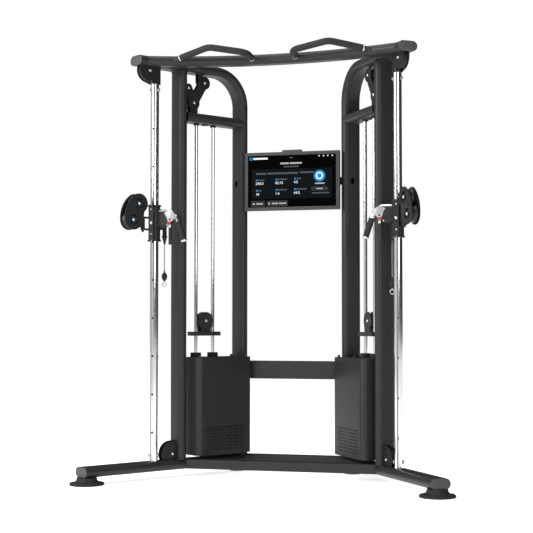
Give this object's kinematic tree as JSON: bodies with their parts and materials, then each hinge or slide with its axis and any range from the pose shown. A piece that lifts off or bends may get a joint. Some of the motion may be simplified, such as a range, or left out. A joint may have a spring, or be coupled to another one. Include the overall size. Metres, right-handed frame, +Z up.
{
  "type": "functional trainer",
  "caption": "Dual adjustable pulley cable trainer with splayed towers, sliding lockable carriages, bowed pull-up bar with grips and a central tilting screen.",
  "frame": {"origin": "on the floor under the middle of the machine's footprint", "axes": "+Z up; +X to the right as seen by a person facing the machine; +Y away from that person, towards the back"},
  "size_m": [1.859, 0.9135, 2.1579],
  "materials": {
    "frame_black": "satin textured powder coat",
    "plate_black": "satin powder coat",
    "chrome": "polished",
    "steel_bright": "bright zinc plate",
    "pulley_black": "satin moulded nylon",
    "rubber_black": "matt",
    "plastic_black": "fine grain",
    "cable_grey": "smooth coated cable",
    "screen_glass": "glossy display front",
    "screen_case": "fine grain"
  },
  "bodies": {
    "frame": {"front_posts": "frame_black", "top_tubes": "frame_black", "base_tubes": "frame_black", "upper_cross_tubes": "frame_black", "guide_columns": "chrome", "column_cables": "cable_grey", "guide_rods": "chrome", "rod_bumpers": "rubber_black", "top_brackets": "plate_black", "base_brackets": "plate_black", "idler_plates": "plate_black", "toe_beam": "frame_black", "rear_base_beam": "frame_black", "rear_cross_member": "frame_black", "pull_up_bar": "frame_black", "grip_sleeves": "rubber_black", "feet": "rubber_black", "end_caps": "plastic_black", "bolts": "steel_bright", "screen_bracket": "plate_black", "right_housing": "frame_black", "left_housing": "frame_black"},
    "screen": {"screen_case": "screen_case", "screen_glass": "screen_glass"},
    "right_travelling_block": {"right_travelling_block": "frame_black"},
    "right_carriage": {"right_carriage_sleeve": "plate_black", "right_handle_tube": "chrome", "right_handle_grip": "rubber_black", "right_cable_tail": "cable_grey", "right_ball_stop": "rubber_black", "right_snap_hook": "steel_bright"},
    "right_release_lever": {"right_release_lever": "plate_black"},
    "right_lock_pin": {"right_lock_pin": "steel_bright"},
    "right_swivel_head": {"right_swivel_head": "plate_black"},
    "right_top_pulley": {"right_top_pulley": "pulley_black"},
    "right_base_pulley": {"right_base_pulley": "pulley_black"},
    "right_idler_pulley_front": {"right_idler_pulley_front": "pulley_black"},
    "right_idler_pulley_rear": {"right_idler_pulley_rear": "pulley_black"},
    "right_idler_pulley_low": {"right_idler_pulley_low": "pulley_black"},
    "right_travelling_pulley": {"right_travelling_pulley": "pulley_black"},
    "right_swivel_pulley_upper": {"right_swivel_pulley_upper": "pulley_black"},
    "right_swivel_pulley_lower": {"right_swivel_pulley_lower": "pulley_black"},
    "left_travelling_block": {"left_travelling_block": "frame_black"},
    "left_carriage": {"left_carriage_sleeve": "plate_black", "left_handle_tube": "chrome", "left_handle_grip": "rubber_black", "left_cable_tail": "cable_grey", "left_ball_stop": "rubber_black", "left_snap_hook": "steel_bright"},
    "left_release_lever": {"left_release_lever": "plate_black"},
    "left_lock_pin": {"left_lock_pin": "steel_bright"},
    "left_swivel_head": {"left_swivel_head": "plate_black"},
    "left_top_pulley": {"left_top_pulley": "pulley_black"},
    "left_base_pulley": {"left_base_pulley": "pulley_black"},
    "left_idler_pulley_front": {"left_idler_pulley_front": "pulley_black"},
    "left_idler_pulley_rear": {"left_idler_pulley_rear": "pulley_black"},
    "left_idler_pulley_low": {"left_idler_pulley_low": "pulley_black"},
    "left_travelling_pulley": {"left_travelling_pulley": "pulley_black"},
    "left_swivel_pulley_upper": {"left_swivel_pulley_upper": "pulley_black"},
    "left_swivel_pulley_lower": {"left_swivel_pulley_lower": "pulley_black"}
  },
  "joints": [
    {"name": "screen_tilt", "type": "hinge", "parent": "frame", "child": "screen", "pos_m": [0, 0.37628, 1.524], "axis": [1, 0, 0], "range_deg": [-10, 10]},
    {"name": "right_block_slide", "type": "slide", "parent": "frame", "child": "right_travelling_block", "axis": [0, 0, 1], "range_m": [-0.085, 0.975]},
    {"name": "right_carriage_slide", "type": "slide", "parent": "frame", "child": "right_carriage", "axis": [0, 0, 1], "range_m": [-0.665, 0.475]},
    {"name": "right_lever_squeeze", "type": "hinge", "parent": "right_carriage", "child": "right_release_lever", "pos_m": [0.53741, -0.0561, 1.296], "axis": [0, 1, 0], "range_deg": [0, 14], "stiffness_Nm_per_rad": 1.5, "springref_deg": -11.46},
    {"name": "right_pin_pull", "type": "slide", "parent": "right_carriage", "child": "right_lock_pin", "axis": [-1, 0, 0], "range_m": [0, 0.005]},
    {"name": "right_head_swivel", "type": "hinge", "parent": "right_carriage", "child": "right_swivel_head", "pos_m": [0.66244, -0.11405, 1.28], "axis": [0, 0, 1], "range_deg": [-70, 70]},
    {"name": "right_top_pulley_spin", "type": "hinge", "parent": "frame", "child": "right_top_pulley", "pos_m": [0.64453, -0.08875, 2.058], "axis": [-0.8161, -0.5779, 0], "continuous": true},
    {"name": "right_base_pulley_spin", "type": "hinge", "parent": "frame", "child": "right_base_pulley", "pos_m": [0.55958, 0.03123, 0.116], "axis": [-0.8161, -0.5779, 0], "continuous": true},
    {"name": "right_idler_pulley_front_spin", "type": "hinge", "parent": "frame", "child": "right_idler_pulley_front", "pos_m": [0.50526, 0.10794, 1.997], "axis": [-0.8161, -0.5779, 0], "continuous": true},
    {"name": "right_idler_pulley_rear_spin", "type": "hinge", "parent": "frame", "child": "right_idler_pulley_rear", "pos_m": [0.44517, 0.19282, 2.034], "axis": [-0.8161, -0.5779, 0], "continuous": true},
    {"name": "right_idler_pulley_low_spin", "type": "hinge", "parent": "frame", "child": "right_idler_pulley_low", "pos_m": [0.48446, 0.13732, 1.922], "axis": [-0.8161, -0.5779, 0], "continuous": true},
    {"name": "right_travelling_pulley_spin", "type": "hinge", "parent": "right_travelling_block", "child": "right_travelling_pulley", "pos_m": [0.43852, 0.20221, 0.79], "axis": [-0.8161, -0.5779, 0], "continuous": true},
    {"name": "right_swivel_pulley_upper_spin", "type": "hinge", "parent": "right_swivel_head", "child": "right_swivel_pulley_upper", "pos_m": [0.68266, -0.14261, 1.377], "axis": [-0.8161, -0.5779, 0], "continuous": true},
    {"name": "right_swivel_pulley_lower_spin", "type": "hinge", "parent": "right_swivel_head", "child": "right_swivel_pulley_lower", "pos_m": [0.70289, -0.17118, 1.294], "axis": [-0.8161, -0.5779, 0], "continuous": true},
    {"name": "left_block_slide", "type": "slide", "parent": "frame", "child": "left_travelling_block", "axis": [0, 0, 1], "range_m": [-0.085, 0.975]},
    {"name": "left_carriage_slide", "type": "slide", "parent": "frame", "child": "left_carriage", "axis": [0, 0, 1], "range_m": [-0.665, 0.475]},
    {"name": "left_lever_squeeze", "type": "hinge", "parent": "left_carriage", "child": "left_release_lever", "pos_m": [-0.53741, -0.0561, 1.296], "axis": [0, -1, 0], "range_deg": [0, 14], "stiffness_Nm_per_rad": 1.5, "springref_deg": -11.46},
    {"name": "left_pin_pull", "type": "slide", "parent": "left_carriage", "child": "left_lock_pin", "axis": [1, 0, 0], "range_m": [0, 0.005]},
    {"name": "left_head_swivel", "type": "hinge", "parent": "left_carriage", "child": "left_swivel_head", "pos_m": [-0.66244, -0.11405, 1.28], "axis": [0, 0, 1], "range_deg": [-70, 70]},
    {"name": "left_top_pulley_spin", "type": "hinge", "parent": "frame", "child": "left_top_pulley", "pos_m": [-0.64453, -0.08875, 2.058], "axis": [0.8161, -0.5779, 0], "continuous": true},
    {"name": "left_base_pulley_spin", "type": "hinge", "parent": "frame", "child": "left_base_pulley", "pos_m": [-0.55958, 0.03123, 0.116], "axis": [0.8161, -0.5779, 0], "continuous": true},
    {"name": "left_idler_pulley_front_spin", "type": "hinge", "parent": "frame", "child": "left_idler_pulley_front", "pos_m": [-0.50526, 0.10794, 1.997], "axis": [0.8161, -0.5779, 0], "continuous": true},
    {"name": "left_idler_pulley_rear_spin", "type": "hinge", "parent": "frame", "child": "left_idler_pulley_rear", "pos_m": [-0.44517, 0.19282, 2.034], "axis": [0.8161, -0.5779, 0], "continuous": true},
    {"name": "left_idler_pulley_low_spin", "type": "hinge", "parent": "frame", "child": "left_idler_pulley_low", "pos_m": [-0.48446, 0.13732, 1.922], "axis": [0.8161, -0.5779, 0], "continuous": true},
    {"name": "left_travelling_pulley_spin", "type": "hinge", "parent": "left_travelling_block", "child": "left_travelling_pulley", "pos_m": [-0.43852, 0.20221, 0.79], "axis": [0.8161, -0.5779, 0], "continuous": true},
    {"name": "left_swivel_pulley_upper_spin", "type": "hinge", "parent": "left_swivel_head", "child": "left_swivel_pulley_upper", "pos_m": [-0.68266, -0.14261, 1.377], "axis": [0.8161, -0.5779, 0], "continuous": true},
    {"name": "left_swivel_pulley_lower_spin", "type": "hinge", "parent": "left_swivel_head", "child": "left_swivel_pulley_lower", "pos_m": [-0.70289, -0.17118, 1.294], "axis": [0.8161, -0.5779, 0], "continuous": true}
  ],
  "couplings": [
    {"joint": "right_pin_pull", "follows": "right_lever_squeeze", "m_per_rad": 0.019},
    {"joint": "left_pin_pull", "follows": "left_lever_squeeze", "m_per_rad": 0.019}
  ]
}
